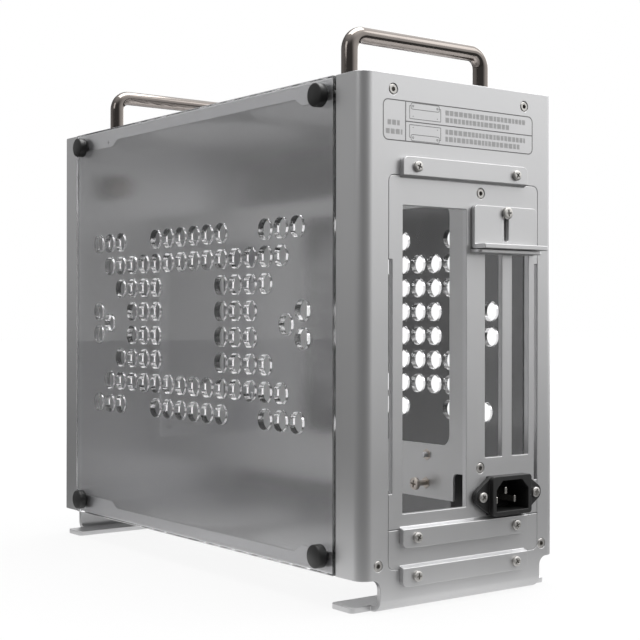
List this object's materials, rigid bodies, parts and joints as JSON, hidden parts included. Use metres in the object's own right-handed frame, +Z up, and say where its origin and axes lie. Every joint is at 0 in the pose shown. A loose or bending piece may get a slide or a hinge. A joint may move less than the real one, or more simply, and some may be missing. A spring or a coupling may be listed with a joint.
{
  "type": "computer case",
  "caption": "Slim upright desktop case with folded aluminium ends, clear drilled side panels on knobs, two carrying handles, a board tray and a sliding card retainer.",
  "frame": {"origin": "on the ground under the middle of the case", "axes": "+Z up, +Y towards the rear panel with the sockets, +X towards the motherboard's side"},
  "size_m": [0.152, 0.348, 0.3065],
  "materials": {
    "shell_aluminium": "bead-blasted and anodised, silver",
    "tray_aluminium": "anodised, silver",
    "bracket_steel": "plated, satin",
    "smoke_acrylic": "glossy, clear with a smoke tint",
    "black_knob": "black, satin",
    "black_inlet": "black, fine texture",
    "pin_metal": "nickel plated",
    "screw_steel": "plated",
    "black_screw": "black oxide",
    "handle_steel": "polished"
  },
  "bodies": {
    "case": {"rear_shell": "shell_aluminium", "front_shell": "shell_aluminium", "top_plate": "shell_aluminium", "bottom_plate": "shell_aluminium", "side_panel_right": "smoke_acrylic", "side_panel_left": "smoke_acrylic", "panel_knobs_right": "black_knob", "panel_knobs_left": "black_knob", "io_plate": "shell_aluminium", "adapter_plate": "shell_aluminium", "tab_screws": "screw_steel", "retainer_screw": "screw_steel", "power_inlet": "black_inlet", "inlet_pins": "pin_metal", "inlet_screws": "screw_steel", "centre_tray": "tray_aluminium", "tray_screws": "screw_steel", "board_nuts": "screw_steel", "spare_screw": "screw_steel", "riser_bracket": "bracket_steel", "riser_nuts": "screw_steel", "riser_screws": "screw_steel", "supply_bracket": "bracket_steel", "supply_screws": "screw_steel", "handle_rear": "handle_steel", "handle_front": "handle_steel", "handle_screws": "screw_steel", "rear_shell_screws": "screw_steel", "front_shell_screws": "screw_steel", "button_housing": "handle_steel", "button_nut": "screw_steel"},
    "retainer": {"pcie_retainer": "shell_aluminium"},
    "button": {"power_button": "handle_steel"}
  },
  "joints": [
    {"name": "retainer_slide", "type": "slide", "parent": "case", "child": "retainer", "axis": [0, 0, 1], "range_m": [0, 0.011]},
    {"name": "button_press", "type": "slide", "parent": "case", "child": "button", "axis": [0, 1, 0], "range_m": [0, 0.0015], "stiffness_N_per_m": 600}
  ]
}
